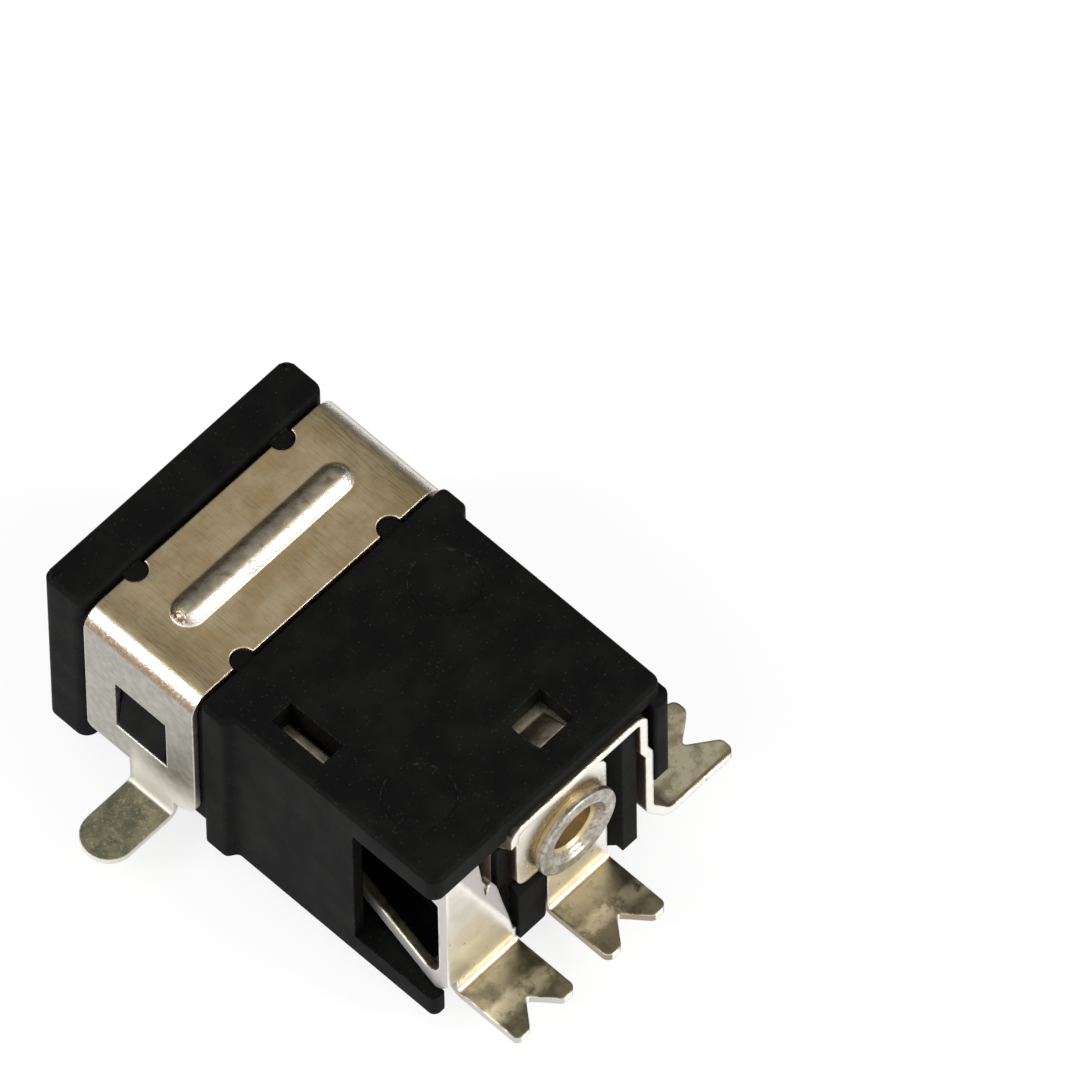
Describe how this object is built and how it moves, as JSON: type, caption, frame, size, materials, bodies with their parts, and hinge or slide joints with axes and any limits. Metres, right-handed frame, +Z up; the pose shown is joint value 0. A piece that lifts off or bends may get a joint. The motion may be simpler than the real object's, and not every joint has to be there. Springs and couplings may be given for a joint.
{
  "type": "dc barrel jack",
  "caption": "Board-mount power socket: black moulded block with a round plug bore and centre pin, a folded metal strap, spring contacts and solder tabs.",
  "frame": {"origin": "midway between the two locating pegs, in the plane of the board", "axes": "+Z up from the board, -Y out of the plug mouth, +X to the right as seen facing the mouth"},
  "size_m": [0.0145, 0.0164, 0.0084],
  "materials": {
    "housing": "matt, finely grained",
    "shell_strap": "dull nickel plating, faint rolling lines",
    "centre_pin": "nickel plating, brassy in the hollow end",
    "pin_terminal": "bright tin plating",
    "sleeve_spring": "bright tin plating",
    "shunt_contact": "bright tin plating"
  },
  "bodies": {
    "root": {"housing": "housing", "shell_strap": "shell_strap", "centre_pin": "centre_pin", "pin_terminal": "pin_terminal", "sleeve_spring": "sleeve_spring", "shunt_contact": "shunt_contact"}
  },
  "joints": []
}
